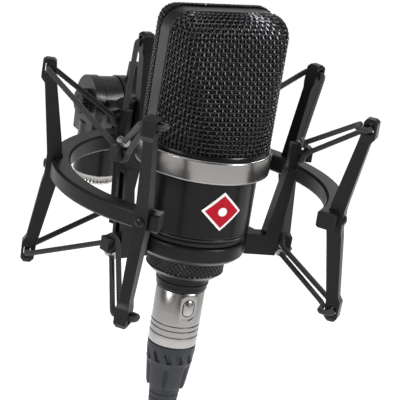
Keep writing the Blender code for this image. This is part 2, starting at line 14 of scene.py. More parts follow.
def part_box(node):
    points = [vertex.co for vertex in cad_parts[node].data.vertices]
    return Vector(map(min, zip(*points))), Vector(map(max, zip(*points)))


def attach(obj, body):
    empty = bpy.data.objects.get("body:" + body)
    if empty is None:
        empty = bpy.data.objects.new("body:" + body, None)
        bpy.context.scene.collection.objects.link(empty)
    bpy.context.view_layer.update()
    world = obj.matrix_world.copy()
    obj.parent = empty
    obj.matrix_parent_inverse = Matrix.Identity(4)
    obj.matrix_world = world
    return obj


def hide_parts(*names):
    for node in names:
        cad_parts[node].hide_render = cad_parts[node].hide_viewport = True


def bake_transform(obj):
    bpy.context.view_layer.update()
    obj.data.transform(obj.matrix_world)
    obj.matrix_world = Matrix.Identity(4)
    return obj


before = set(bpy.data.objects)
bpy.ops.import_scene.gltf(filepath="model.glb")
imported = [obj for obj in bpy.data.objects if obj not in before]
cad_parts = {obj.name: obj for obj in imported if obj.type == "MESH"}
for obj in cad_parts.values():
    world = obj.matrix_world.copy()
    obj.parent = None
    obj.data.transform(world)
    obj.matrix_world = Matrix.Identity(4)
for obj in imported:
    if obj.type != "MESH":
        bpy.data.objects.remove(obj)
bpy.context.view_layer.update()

MM = 0.001


def cad(node):
    """A CAD node's lowest and highest corners, in millimetres."""
    low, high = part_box(node)
    return low / MM, high / MM


# The microphone's axis and the ring's lower edge, and the swivel's axis, read from the CAD model
ring_low, ring_high = cad("bright_ring")
AXIS = Vector((0, (ring_low.y + ring_high.y) / 2, ring_low.z - 0.2))
bolt_low, bolt_high = cad("clamp_bolt")
SWIVEL = Vector((0, (bolt_low.y + bolt_high.y) / 2, (bolt_low.z + bolt_high.z) / 2))

# Microphone
BODY_R = 22.0
HEAD_FOOT, HEAD_TOP = 9.4, 60.2
HEAD_HALF_WIDTH = 24.0
HEAD_FOOT_DEPTH, HEAD_TOP_DEPTH = 24.6, 12.5
CREASE = 34  # how sharply the leaning front meets the round sides
HEAD_CORNER = 8.0
STRIP_EDGE = 4.0
WIRE_PITCH, WIRE_R = 1.75, 0.36
NUT_R, NUT_TOP, NUT_BOTTOM, NUT_BORE = 15.1, -34.7, -43.0, 10.4

# Suspension
INNER_AZIMUTHS = {"left": -77.8, "right": 77.8, "rear_left": -146.2, "rear_right": 146.2}
OUTER_AZIMUTHS = {"front_left": -46.5, "left": -112.9, "rear": 180.0, "right": 112.9, "front_right": 46.5}
CORD_R = 1.05
UPPER_ROUTE = dict(outer_r=62.2, outer_z=29.2, inner_r=38.8, inner_z=7.0, up=1)
LOWER_ROUTE = dict(outer_r=60.8, outer_z=-44.2, inner_r=36.6, inner_z=-29.1, up=-1)
SCREW_AT, SCREW_Z, SCREW_HEAD_R = 58.7, -8.2, 1.8

# Camera and its aim, for a 36 mm sensor
LENS = 201.5
DISTANCE, AZIMUTH, ELEVATION, ROLL = 0.8505, -28.3, 17.64, -9.37
AIM_UP, AIM_RIGHT = 0.947, 0.031


# ---- materials --------------------------------------------------------------------------------

GRAIN_DEPTH = 0.00004  # metres


def material(name, dark, light, roughness, metallic=0.0, grain=900.0, bump=0.15, stretch=(1, 1, 1),
             **extra):
    """A Principled material whose colour, roughness and bump vary with two scales of noise."""
    made = bpy.data.materials.new(name)
    made.use_nodes = True
    nodes, links = made.node_tree.nodes, made.node_tree.links
    shader = nodes["Principled BSDF"]
    shader.inputs["Metallic"].default_value = metallic
    for socket, value in extra.items():
        shader.inputs[socket.replace("_", " ")].default_value = value
    place = nodes.new("ShaderNodeTexCoord")
    mapping = nodes.new("ShaderNodeMapping")
    mapping.inputs["Scale"].default_value = stretch
    links.new(place.outputs["Object"], mapping.inputs["Vector"])
    fine = nodes.new("ShaderNodeTexNoise")
    fine.inputs["Scale"].default_value = grain
    fine.inputs["Detail"].default_value = 4
    links.new(mapping.outputs["Vector"], fine.inputs["Vector"])
    broad = nodes.new("ShaderNodeTexNoise")
    broad.inputs["Scale"].default_value = 45
    broad.inputs["Detail"].default_value = 5
    links.new(place.outputs["Object"], broad.inputs["Vector"])
    both = nodes.new("ShaderNodeMix")
    both.inputs["Factor"].default_value = 0.45
    links.new(fine.outputs["Fac"], both.inputs["A"])
    links.new(broad.outputs["Fac"], both.inputs["B"])
    colour = nodes.new("ShaderNodeValToRGB")
    colour.color_ramp.elements[0].position = 0.3
    colour.color_ramp.elements[0].color = (*dark, 1)
    colour.color_ramp.elements[1].position = 0.7
    colour.color_ramp.elements[1].color = (*light, 1)
    links.new(both.outputs["Result"], colour.inputs["Fac"])
    links.new(colour.outputs["Color"], shader.inputs["Base Color"])
    spread = nodes.new("ShaderNodeMapRange")
    spread.inputs["From Min"].default_value = 0.25
    spread.inputs["From Max"].default_value = 0.75
    spread.inputs["To Min"].default_value = roughness[0]
    spread.inputs["To Max"].default_value = roughness[1]
    links.new(both.outputs["Result"], spread.inputs["Value"])
    links.new(spread.outputs["Result"], shader.inputs["Roughness"])
    relief = nodes.new("ShaderNodeBump")
    relief.inputs["Strength"].default_value = bump
    relief.inputs["Distance"].default_value = GRAIN_DEPTH
    links.new(fine.outputs["Fac"], relief.inputs["Height"])
    links.new(relief.outputs["Normal"], shader.inputs["Normal"])
    return made


def braid_material(name):
    """Crossed plaits that follow the cord through its UV map: U round it, V along it."""
    made = material(name, (0.004, 0.004, 0.0045), (0.014, 0.014, 0.015), (0.7, 0.9), Sheen_Weight=0.1)
    nodes, links = made.node_tree.nodes, made.node_tree.links
    place = nodes.new("ShaderNodeTexCoord")
    plaits = []
    for lean in (1, -1):
        turn = nodes.new("ShaderNodeMapping")
        turn.inputs["Rotation"].default_value = (0, 0, lean * math.radians(40))
        links.new(place.outputs["UV"], turn.inputs["Vector"])
        wave = nodes.new("ShaderNodeTexWave")
        wave.inputs["Scale"].default_value = 2.2
        links.new(turn.outputs["Vector"], wave.inputs["Vector"])
        plaits.append(wave)
    cross = nodes.new("ShaderNodeMath")
    cross.operation = "MULTIPLY"
    links.new(plaits[0].outputs["Fac"], cross.inputs[0])
    links.new(plaits[1].outputs["Fac"], cross.inputs[1])
    relief = nodes.new("ShaderNodeBump")
    relief.inputs["Strength"].default_value = 0.5
    relief.inputs["Distance"].default_value = 0.0001
    links.new(cross.outputs["Value"], relief.inputs["Height"])
    links.new(relief.outputs["Normal"], nodes["Principled BSDF"].inputs["Normal"])
    return made


LACQUER = material("satin_black_lacquer", (0.003, 0.003, 0.0035), (0.006, 0.006, 0.007), (0.2, 0.3),
                   grain=1500, bump=0.08, Specular_IOR_Level=0.2)
PLASTIC = material("black_moulding", (0.003, 0.003, 0.0035), (0.008, 0.008, 0.009), (0.28, 0.42),
                   grain=2200, bump=0.3, Specular_IOR_Level=0.2)
CAST = material("satin_black_casting", (0.003, 0.003, 0.0035), (0.007, 0.007, 0.0075), (0.2, 0.34),
                grain=1400, bump=0.22, Specular_IOR_Level=0.26)
NICKEL = material("turned_nickel", (0.29, 0.28, 0.27), (0.35, 0.34, 0.33), (0.2, 0.27), 1.0, 260, 0.015,
                  (0.1, 0.1, 12))
WIRE = material("grille_wire", (0.02, 0.02, 0.022), (0.06, 0.06, 0.064), (0.17, 0.27), 0.9, 1200, 0.15)
FINE_MESH = material("inner_fine_mesh", (0.002, 0.002, 0.0025), (0.012, 0.012, 0.013), (0.5, 0.8), 0.3,
                     2600, 0.9)
STRIP = material("grille_strip", (0.004, 0.004, 0.0045), (0.01, 0.01, 0.011), (0.3, 0.42), 0.1, 700, 0.12,
                 (1, 1, 0.1))
RUBBER = material("moulded_rubber", (0.008, 0.009, 0.012), (0.018, 0.02, 0.026), (0.42, 0.6), grain=2600,
                  bump=0.4, Specular_IOR_Level=0.4)
FELT = material("felt_washer", (0.006, 0.006, 0.006), (0.02, 0.02, 0.02), (0.9, 1.0), grain=3800, bump=0.9)
BRASS = material("gilt_brass", (0.6, 0.42, 0.16), (0.8, 0.6, 0.28), (0.18, 0.32), 1.0, 600, 0.1)
BOARD = material("circuit_board_lacquer", (0.01, 0.09, 0.04), (0.02, 0.16, 0.07), (0.3, 0.45), grain=1200,
                 bump=0.2)
RED = material("red_enamel", (0.33, 0.002, 0.012), (0.41, 0.003, 0.017), (0.25, 0.35), grain=700, bump=0.05,
               Specular_IOR_Level=0.15)
WHITE = material("white_enamel", (0.72, 0.72, 0.7), (0.82, 0.82, 0.8), (0.2, 0.3), grain=700, bump=0.05,
                 Coat_Weight=0.5)
BRAID = braid_material("braided_elastic")


# ---- helpers ----------------------------------------------------------------------------------

def to_row(obj, turn=0.0, origin=AXIS):
    """From millimetres round an axis to the row frame, turned about that axis."""
    obj.data.transform(Matrix.Translation(origin * MM) @ Matrix.Rotation(math.radians(turn), 4, "Z")
                       @ Matrix.Scale(MM, 4))
    return obj


def piece(name, mesh, finish, body, turn=0.0, origin=AXIS, stands_for=()):
    """Puts a finished mesh in the scene on a body, in place of the CAD nodes it stands for."""
    obj = bpy.data.objects.new(name, mesh)
    bpy.context.scene.collection.objects.link(obj)
    mesh.materials.clear()
    mesh.materials.append(finish)
    to_row(obj, turn, origin)
    mesh.shade_smooth()
    mesh.set_sharp_from_angle(angle=math.radians(40))
    if body:
        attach(obj, body)
    if stands_for:
        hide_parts(*stands_for)
    return obj


def polar(r, azimuth, z, sideways=0.0):
    """A point at an azimuth counted from the front, moved sideways across that direction."""
    a = math.radians(azimuth)
    return Vector((r * math.sin(a) + sideways * math.cos(a), -r * math.cos(a) + sideways * math.sin(a), z))


def mesh_from(name, verts, faces):
    mesh = bpy.data.meshes.new(name)
    mesh.from_pydata([tuple(v) for v in verts], [], faces)
    mesh.validate()
    bm = bmesh.new()
    bm.from_mesh(mesh)
    bmesh.ops.recalc_face_normals(bm, faces=bm.faces)
    bm.to_mesh(mesh)
    bm.free()
    return mesh


def lathe(name, profile, segments=96, relief=None):
    """A closed ring of (radius, height) points swept about Z; relief(radius, turn, z) gives a new radius."""
    verts, faces = [], []
    count = len(profile)
    for s in range(segments):
        turn = 2 * math.pi * s / segments
        for r, z in profile:
            if relief:
                r = relief(r, turn, z)
            verts.append((r * math.cos(turn), r * math.sin(turn), z))
    for s in range(segments):
        a, b = s * count, (s + 1) % segments * count
        for i in range(count):
            j = (i + 1) % count
            faces.append((a + i, b + i, b + j, a + j))
    return mesh_from(name, verts, faces)


def run(a, b, steps):
    """Points from a towards b, without b."""
    return [(a[0] + (b[0] - a[0]) * i / steps, a[1] + (b[1] - a[1]) * i / steps) for i in range(steps)]


def sweep(name, path, radius, sides=12, ripple=0.0, uv=False):
    """A closed tube along a path. ripple lifts its surface in crossed plaits."""
    verts, faces = [], []
    tangent = (path[1] - path[0]).normalized()
    side = tangent.orthogonal().normalized()
    along = 0.0
    lengths = []
    for i, p in enumerate(path):
        ahead = (path[min(i + 1, len(path) - 1)] - path[max(i - 1, 0)]).normalized()
        side = tangent.rotation_difference(ahead) @ side
        tangent = ahead
        other = tangent.cross(side)
        along += (p - path[i - 1]).length if i else 0.0
        lengths.append(along)
        for k in range(sides):
            turn = 2 * math.pi * k / sides
            r = radius + ripple * math.cos(3 * turn + along * 2.1) * math.cos(3 * turn - along * 2.1)
            verts.append(p + side * math.cos(turn) * r + other * math.sin(turn) * r)
    for i in range(len(path) - 1):
        for k in range(sides):
            m = (k + 1) % sides
            faces.append((i * sides + k, i * sides + m, (i + 1) * sides + m, (i + 1) * sides + k))
    faces.append(tuple(range(sides)))
    faces.append(tuple(range((len(path) - 1) * sides, len(path) * sides)))
    mesh = mesh_from(name, verts, faces)
    if uv:
        layer = mesh.uv_layers.new(name="UVMap")
        for poly in mesh.polygons:
            for loop in poly.loop_indices:
                row, k = divmod(mesh.loops[loop].vertex_index, sides)
                layer.data[loop].uv = (k / sides * 4, lengths[row] / (2 * math.pi * radius) * 4)
    return mesh


def box_mesh(name, low, high):
    """A block between two corners."""
    bm = bmesh.new()
    size = [b - a for a, b in zip(low, high)]
    middle = [(a + b) / 2 for a, b in zip(low, high)]
    bmesh.ops.create_cube(bm, size=1.0, matrix=Matrix.Translation(middle) @ Matrix.Diagonal((*size, 1)))
    mesh = bpy.data.meshes.new(name)
    bm.to_mesh(mesh)
    bm.free()
    return mesh


def carve(mesh, cutter):
    """The mesh with the cutter taken out of it, done at once."""
    block = bpy.data.objects.new("block", mesh)
    tool = bpy.data.objects.new("tool", cutter)
    for obj in (block, tool):
        bpy.context.scene.collection.objects.link(obj)
    change = block.modifiers.new("carve", "BOOLEAN")
    change.operation = "DIFFERENCE"
    change.object = tool
    bpy.context.view_layer.update()
    result = bpy.data.meshes.new_from_object(block.evaluated_get(bpy.context.evaluated_depsgraph_get()))
    result.name = mesh.name
    for obj in (block, tool):
        bpy.data.objects.remove(obj, do_unlink=True)
    return result


# ---- CAD nodes that stay: finer edges and finishes --------------------------------------------

def dress(node, finish, edge):
    """Gives a CAD node its finish and, where edge is set, softened edges that many millimetres wide."""
    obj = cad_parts[node]
    obj.data.materials.clear()
    obj.data.materials.append(finish)
    obj.data.shade_smooth()
    weld = obj.modifiers.new("weld", "WELD")
    weld.merge_threshold = 1e-6
    if edge:
        bevel = obj.modifiers.new("edges", "BEVEL")
        bevel.width = edge * MM
        bevel.segments = 2
        bevel.limit_method = "ANGLE"
        bevel.angle_limit = math.radians(28)
    normals = obj.modifiers.new("normals", "WEIGHTED_NORMAL")
    normals.keep_sharp = False


for node, finish, edge in (
    ("body_shell", LACQUER, 0.2), ("bright_ring", NICKEL, 0.25), ("output_stub", LACQUER, 0.2),
    ("head_strip", STRIP, 0.25), ("head_base", PLASTIC, 0.2), ("pin_carrier", PLASTIC, 0.1),
    ("circuit_board", BOARD, 0.1), ("coupling_capacitor", BRASS, 0.3), ("capsule", BRASS, 0.2),
    ("capsule_mount", RUBBER, 0.4), ("front_grille", FINE_MESH, 0), ("rear_grille", FINE_MESH, 0),
    ("basket_collar", PLASTIC, 0.3), ("seat_washer", FELT, 0.15), ("outer_ring", PLASTIC, 0.35),
    ("ring_arm", CAST, 0.5), ("stand_fork", CAST, 0.45), ("clamp_lever", PLASTIC, 0.5),
    ("plug_insert", PLASTIC, 0.15)):
    dress(node, finish, edge)
for where in INNER_AZIMUTHS:
    dress("upright_" + where, PLASTIC, 0.4)
for where in OUTER_AZIMUTHS:
    dress("strut_" + where, PLASTIC, 0.4)


# ---- grille: two halves of woven wire ---------------------------------------------------------

def head_section(height):
    """Height, share of the full width, and depth of the leaning front, at a share of the head's height."""
    z = HEAD_FOOT + (HEAD_TOP - HEAD_FOOT) * height
    rise = max(0.0, z - (HEAD_TOP - HEAD_CORNER)) / HEAD_CORNER
    narrow = 1 - HEAD_CORNER / HEAD_HALF_WIDTH * (1 - math.sqrt(max(0.0, 1 - rise * rise)))
    lean = HEAD_FOOT_DEPTH + (HEAD_TOP_DEPTH - HEAD_FOOT_DEPTH) * height
    depth = STRIP_EDGE + 0.2 + (lean - STRIP_EDGE - 0.2) * math.sqrt(max(0.0, 1 - rise ** 2.4))
    return z, narrow, depth


def head_row(share, steps=200):
    """The front half's outline at a share of its height: a round section cut off by the leaning front."""
    z, narrow, depth = head_section(share)
    radius = HEAD_HALF_WIDTH - 0.2
    start = math.acos(STRIP_EDGE / radius)
    row = []
    for i in range(steps + 1):
        turn = start * (2 * i / steps - 1)
        r = (radius ** -CREASE + (math.cos(turn) / depth) ** CREASE) ** (-1 / CREASE)
        row.append(Vector((r * math.sin(turn) * narrow, min(-STRIP_EDGE, -r * math.cos(turn)), z)))
    return row


def evenly(points, count):
    """The polyline resampled to count + 1 points at equal distances."""
    reach = [0.0]
    for a, b in zip(points, points[1:]):
        reach.append(reach[-1] + (b - a).length)
    result, i = [], 0
    for step in range(count + 1):
        goal = reach[-1] * step / count
        while i < len(points) - 2 and reach[i + 1] < goal:
            i += 1
        share = (goal - reach[i]) / max(1e-9, reach[i + 1] - reach[i])
        result.append(points[i].lerp(points[i + 1], min(1.0, share)))
    return result


def woven_half(name):
    """Wires over and under each other on the front half's surface."""
    fine = [math.sin(math.pi / 2 * i / 240) for i in range(241)]
    crest = [Vector((share, head_row(share, 2)[1].y, head_section(share)[0])) for share in fine]
    levels = evenly([Vector((0, c.y, c.z)) for c in crest], 2 * round(60 / WIRE_PITCH))
    shares = []
    for level in levels:
        nearest = min(crest, key=lambda c: (c.y - level.y) ** 2 + (c.z - level.z) ** 2)
        shares.append(nearest.x)
    across = 2 * round(70 / WIRE_PITCH)
    grid = [evenly(head_row(min(share, 0.9995)), across) for share in shares]

    def lifted(r, c, over):
        """The crossing at row r, column c, raised off the shell."""
        a, b = grid[max(r - 1, 0)][c], grid[min(r + 1, len(grid) - 1)][c]
        left, right = grid[r][max(c - 1, 0)], grid[r][min(c + 1, across)]
        normal = (right - left).cross(b - a)
        if normal.length < 1e-9:
            normal = Vector((0, 0, 1))
        return grid[r][c] + normal.normalized() * (0.45 + over * WIRE_R * 0.75)

    bm = bmesh.new()
    strands = []
    for c in range(1, across, 2):
        strands.append([lifted(r, c, (-1) ** ((r + c - 1) // 2) if r % 2 else 0) for r in range(len(grid))])
    for r in range(1, len(grid), 2):
        strands.append([lifted(r, c, -((-1) ** ((r + c - 1) // 2)) if c % 2 else 0)
                        for c in range(across + 1)])
    for path in strands:
        part = sweep("strand", path, WIRE_R, 5)
        bm.from_mesh(part)
        bpy.data.meshes.remove(part)
    mesh = bpy.data.meshes.new(name)
    bm.to_mesh(mesh)
    bm.free()
    return mesh


piece("front_weave", woven_half("front_weave"), WIRE, "cradle")
piece("rear_weave", woven_half("rear_weave"), WIRE, "cradle", 180)
rim = [(25.0, 9.2), (25.0, 10.3), (24.6, 10.8), (24.2, 10.8), (24.2, 9.2)]
piece("head_rim", lathe("head_rim", rim), LACQUER, "cradle")


# ---- badge ------------------------------------------------------------------------------------

def bent_plate(name, outline, low, high, steps=14):
    """A flat outline of (across, up) points, wrapped on the body between two radii."""
    bm = bmesh.new()
    face = bm.faces.new([bm.verts.new((x, 0, z)) for x, z in outline])
    for i in range(1, 2 * steps):
        at = -9.0 + 18.0 * i / (2 * steps)
        bmesh.ops.bisect_plane(bm, geom=bm.verts[:] + bm.edges[:] + bm.faces[:], plane_co=(at, 0, 0),
                               plane_no=(1, 0, 0))
    grown = bmesh.ops.extrude_face_region(bm, geom=bm.faces[:])
    front = {v for v in grown["geom"] if isinstance(v, bmesh.types.BMVert)}
    for v in bm.verts:
        r = high if v in front else low
        turn = v.co.x / BODY_R
        v.co = Vector((r * math.sin(turn), -r * math.cos(turn), v.co.z))
    bmesh.ops.recalc_face_normals(bm, faces=bm.faces)
    mesh = bpy.data.meshes.new(name)
    bm.to_mesh(mesh)
    bm.free()
    return mesh


BADGE_Z, BADGE_HALF_WIDE, BADGE_HALF_TALL = -11.2, 8.0, 7.6


def rhombus(share):
    wide, tall = BADGE_HALF_WIDE * share, BADGE_HALF_TALL * share
    return [(-wide, BADGE_Z), (0, BADGE_Z - tall), (wide, BADGE_Z), (0, BADGE_Z + tall)]


def hoop(r, sides=28):
    return [(r * math.cos(2 * math.pi * i / sides), BADGE_Z + r * math.sin(2 * math.pi * i / sides))
            for i in range(sides)]


piece("badge_border", bent_plate("badge_border", rhombus(1.0), BODY_R + 0.2, BODY_R + 0.75), WHITE,
      "cradle", stands_for=("badge",))
piece("badge_field", bent_plate("badge_field", rhombus(0.84), BODY_R + 0.3, BODY_R + 0.9), RED, "cradle")
piece("badge_dot", bent_plate("badge_dot", hoop(1.7), BODY_R + 0.4, BODY_R + 1.02), WHITE, "cradle")


# ---- knurled pieces, threads and screws -------------------------------------------------------

def knurl(ridges, low, high, deep, face):
    """A relief of crossed diamond ridges on the outer face between two heights."""
    def relief(r, turn, z):
        if not low < z < high or r < face - 0.01:
            return r
        slope = (z - low) / face
        a = abs(math.sin((turn + slope) * ridges / 2))
        b = abs(math.sin((turn - slope) * ridges / 2))
        return r - deep * (1 - min(a, b))
    return relief


nut = run((NUT_R, NUT_TOP - 0.8), (NUT_R, NUT_BOTTOM + 1.6), 18)
nut += [(NUT_R, NUT_BOTTOM + 1.6), (NUT_R - 0.5, NUT_BOTTOM + 1.2), (NUT_R - 1.6, NUT_BOTTOM),
        (NUT_BORE, NUT_BOTTOM), (NUT_BORE, NUT_TOP), (NUT_R - 0.8, NUT_TOP)]
nut_knurl = knurl(48, NUT_BOTTOM + 1.7, NUT_TOP - 0.9, 0.55, NUT_R)
piece("knurled_nut", lathe("knurled_nut", nut, 288, nut_knurl), CAST, "nut",
      stands_for=("clamp_nut",))

insert_low, insert_high = cad("thread_insert")
foot, top = insert_low.z, insert_high.z
SOCKET_R = 4.8
THREAD_PITCH = 1.27


def liner_relief(r, turn, z):
    """An inner thread, and straight grip grooves round the flange."""
    if r < SOCKET_R + 0.2:
        return r + 0.45 * abs(2 * ((z / THREAD_PITCH - turn / (2 * math.pi)) % 1.0) - 1)
    if r > 8.4 and foot + 0.9 < z < foot + 3.2:
        return r - 0.35 * abs(math.sin(turn * 20))
    return r


liner = [(7.6, top), (7.6, foot + 3.7), (8.5, foot + 3.7)] + run((8.5, foot + 3.3), (8.5, foot + 0.8), 5)
liner += [(8.5, foot + 0.8), (8.0, foot), (SOCKET_R, foot)]
liner += run((SOCKET_R, foot + 0.1), (SOCKET_R, top), 66)
piece("threaded_liner", lathe("threaded_liner", liner, 160, liner_relief), NICKEL, "adapter",
      origin=Vector((0, 0, 0)), stands_for=("thread_insert",))


def along_x(mesh, start):
    """Lays a piece turned about Z on the swivel's axis, with its z = 0 at x = start and +z towards -X."""
    mesh.transform(Matrix.Translation((start, 0, 0)) @ Matrix.Rotation(-math.pi / 2, 4, "Y"))
    return mesh


def knob_relief(r, turn, z):
    return r - 0.35 * abs(math.sin(turn * 12)) if r > 5.0 and 0.4 < z < 2.9 else r


knob = [(0.01, 0.0), (5.2, 0.0)] + run((5.2, 0.5), (5.2, 2.8), 4)
knob += [(5.2, 2.8), (4.7, 3.3), (2.6, 3.45), (2.2, 2.9), (0.01, 2.8)]
piece("clamp_knob", along_x(lathe("clamp_knob", knob, 144, knob_relief), -8.9), PLASTIC, "fork",
      origin=SWIVEL, stands_for=("clamp_bolt",))
shank = [(0.01, 0.0), (2.3, 0.0), (2.3, 22.2), (1.9, 22.6), (1.5, 22.6), (1.3, 21.8), (0.01, 21.8)]
piece("clamp_shank", along_x(lathe("clamp_shank", [(r, -z) for r, z in shank], 48), -9.2), NICKEL, "fork",
      origin=SWIVEL)

grip = run((3.0, 9.2), (3.2, 16.4), 14)
grip = [(x + 0.3 * (i % 2), z) for i, (x, z) in enumerate(grip)]
back = [(-x + 1.4, z) for x, z in reversed(grip)]
around = len(grip + back)
pad_faces = [tuple(range(around)), tuple(range(around, 2 * around))]
pad_faces += [(i, (i + 1) % around, around + (i + 1) % around, around + i) for i in range(around)]
pad = mesh_from("lever_pad", [(px, -y, z) for px in (13.05, 13.7) for y, z in grip + back], pad_faces)
piece("lever_pad", pad, RUBBER, "lever", origin=SWIVEL)

dome = [(0.01, 0.0), (SCREW_HEAD_R, 0.0), (SCREW_HEAD_R, 0.25), (SCREW_HEAD_R * 0.8, 0.6),
        (SCREW_HEAD_R * 0.45, 0.8), (0.01, 0.85)]


def screw_head(name, size=1.0):
    """A pan head with a cross recess, facing +Z."""
    head = lathe(name, [(r * size, z * size) for r, z in dome], 40)
    for wide, deep in ((1.15, 0.22), (0.22, 1.15)):
        head = carve(head, box_mesh("cross", (-wide * size, -deep * size, 0.4 * size),
                                    (wide * size, deep * size, 2.0)))
    return head


def facing_out(mesh, r, z, azimuth):
    """Turns a mesh that faces +Z to face away from the axis, at a radius, height and azimuth."""
    mesh.transform(Matrix.Rotation(math.radians(azimuth), 4, "Z") @ Matrix.Translation((0, -r, z))
                   @ Matrix.Rotation(math.pi / 2, 4, "X"))
    return mesh


for where, azimuth in OUTER_AZIMUTHS.items():
    head = facing_out(screw_head("screw_head_" + where), SCREW_AT - 0.2, SCREW_Z, azimuth)
    piece("screw_head_" + where, head, CAST, "frame", stands_for=("screw_" + where,))
for side, x in (("left", -9.0), ("right", 9.0)):
    head = screw_head("boss_screw_" + side, 1.35)
    head.transform(Matrix.Translation((x, 65.0, -9.5)) @ Matrix.Rotation(-math.pi / 2, 4, "X"))
    piece("boss_screw_" + side, head, CAST, "frame")


# ---- elastic ----------------------------------------------------------------------------------

def elastic_route(outer_r, outer_z, inner_r, inner_z, up):
    """Through the outer slots and round the inner necks, from one end to the other."""
    clear, beside, reach = 4.0, 3.9, 2.8

    def past_neck(azimuth):
        turns = [(beside, 1.0), (0.8 * beside, -1.4), (0.4 * beside, 0.1 - reach), (0, -reach),
                 (-0.4 * beside, 0.1 - reach), (-0.8 * beside, -1.4), (-beside, 1.0)]
        return [polar(inner_r, azimuth, inner_z + up * dz, t) for t, dz in turns]

    def through(azimuth):
        return [polar(outer_r, azimuth, outer_z, t) for t in (clear, 0.5 * clear, -0.5 * clear, -clear)]

    def round_end(azimuth, side):
        """Through the end slot, round behind the strut and back."""
        back = outer_r - 4.8
        return [polar(outer_r, azimuth, outer_z, side * clear),
                polar(outer_r, azimuth, outer_z, -side * 0.8 * clear),
                polar(outer_r - 0.7, azimuth, outer_z, -side * (clear + 0.5)),
                polar(outer_r - 4.0, azimuth, outer_z, -side * (clear + 0.5)),
                polar(back, azimuth, outer_z, -side * 0.8 * clear),
                polar(back, azimuth, outer_z, side * 0.8 * clear)]

    end_z = inner_z + up * 4.3
    route = [polar(inner_r, INNER_AZIMUTHS["left"], end_z, t) for t in (-1.5, 0.5)]
    route += round_end(OUTER_AZIMUTHS["front_left"], -1)
    for inner, outer in (("left", "left"), ("rear_left", "rear"), ("rear_right", "right")):
        route += past_neck(INNER_AZIMUTHS[inner])
        route += through(OUTER_AZIMUTHS[outer])
    route += past_neck(INNER_AZIMUTHS["right"])
    route += round_end(OUTER_AZIMUTHS["front_right"], 1)
    route += [polar(inner_r, INNER_AZIMUTHS["right"], end_z, t) for t in (-0.5, 1.5)]
    return route


def rounded(points, times=3):
    """Corners cut again and again until the line runs smoothly."""
    for _ in range(times):
        softer = [points[0]]
        for a, b in zip(points, points[1:]):
            share = min(0.25, 1.2 / max(0.01, (b - a).length))
            softer += [a.lerp(b, share), b.lerp(a, share)]
        points = softer + [points[-1]]
    return points


for name, node, facts in (("upper_braid", "upper_elastic", UPPER_ROUTE),
                          ("lower_braid", "lower_elastic", LOWER_ROUTE)):
    line = rounded(elastic_route(**facts))
    length = sum((b - a).length for a, b in zip(line, line[1:]))
    mesh = sweep(name, evenly(line, round(length / 0.5)), CORD_R, 12, 0.09, uv=True)
    braid = piece(name, mesh, BRAID, None, stands_for=(node,))
    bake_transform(braid)
    crimp_z = facts["inner_z"] + facts["up"] * 4.3
    for side in ("left", "right"):
        ends = [polar(facts["inner_r"], INNER_AZIMUTHS[side], crimp_z, t)
                for t in (-2.2, -1.9, 0, 1.9, 2.2)]
        ferrule = sweep(f"{name}_ferrule_{side}", ends, CORD_R + 0.45, 24)
        piece(f"{name}_ferrule_{side}", ferrule, NICKEL, "cradle")


# ---- cable plug -------------------------------------------------------------------------------

def groove(r, z, deep=0.5, half=0.35):
    """The profile of a groove turned in a face of radius r."""
    return [(r, z + half), (r - deep, z + half * 0.5), (r - deep, z - half * 0.5), (r, z - half)]


SHELL_R = 9.5
shell = [(7.9, -33.2), (7.9, -50.4), (9.2, -50.4), (SHELL_R, -50.8)]
for at in (-64.2, -66.2, -68.8):
    shell += groove(SHELL_R, at)
shell += [(SHELL_R, -72.8), (9.2, -73.2), (8.4, -73.2), (8.4, -54.0), (6.9, -54.0), (6.9, -33.2)]
LATCH_Z = -56.4


def stadium_block(name, wide, tall, near, far, crown=0.0, rounds=12):
    """An upright oval block from y = -near out to y = -far, with a raised middle if crown is set."""
    outline = []
    for i in range(2 * rounds + 2):
        a = math.pi * (i if i <= rounds else i - 1) / rounds
        outline.append((wide * math.cos(a),
                        wide * math.sin(a) + (tall - wide) * (1 if i <= rounds else -1)))
    verts, faces = [], []
    sides = len(outline)
    layers = ((1.0, near), (1.0, far))
    if crown:
        layers = ((1.0, near), (1.0, far - 0.4), (0.86, far))
    for share, y in layers:
        verts += [(x * share, -y, LATCH_Z + z * share) for x, z in outline]
    for layer in range(len(layers) - 1):
        at = layer * sides
        faces += [(at + i, at + (i + 1) % sides, at + sides + (i + 1) % sides, at + sides + i)
                  for i in range(sides)]
    faces.append(tuple(range(sides)))
    last = (len(layers) - 1) * sides
    if crown:
        verts.append((0, -far - crown, LATCH_Z))
        faces += [(last + i, last + (i + 1) % sides, len(verts) - 1) for i in range(sides)]
    else:
        faces.append(tuple(range(last, last + sides)))
    return mesh_from(name, verts, faces)


turned_shell = lathe("turned_plug_shell", shell, 128)
turned_shell = carve(turned_shell, stadium_block("recess", 3.5, 5.1, 8.9, 12.0))
turned_shell = carve(turned_shell, stadium_block("window", 2.5, 3.6, 5.0, 12.0))
piece("turned_plug_shell", turned_shell, NICKEL, "plug", stands_for=("plug_shell",))
piece("latch_pad", stadium_block("latch_pad", 2.2, 3.3, 7.2, 9.5, 0.3), NICKEL, "latch",
      stands_for=("latch_button",))


PETALS = 6
BOOT_BOTTOM, SLEEVE_BOTTOM = -92.0, -106.0


def boot_relief(r, turn, z):
    """Slots under the collar, then long petals that part towards the cable."""
    if r < 6.6 or (r < 7.6 and z > -80):
        return r
    if -80.4 < z < -76.6:
        lean = turn + (z + 78.5) * 0.05
        return r - 0.8 * (math.cos(lean * 2 * PETALS) > 0.35)
    if z < -80.8:
        return r - 1.1 * min(1.0, (-80.8 - z) / 3.0) * max(0.0, math.cos(turn * PETALS)) ** 4
    return r


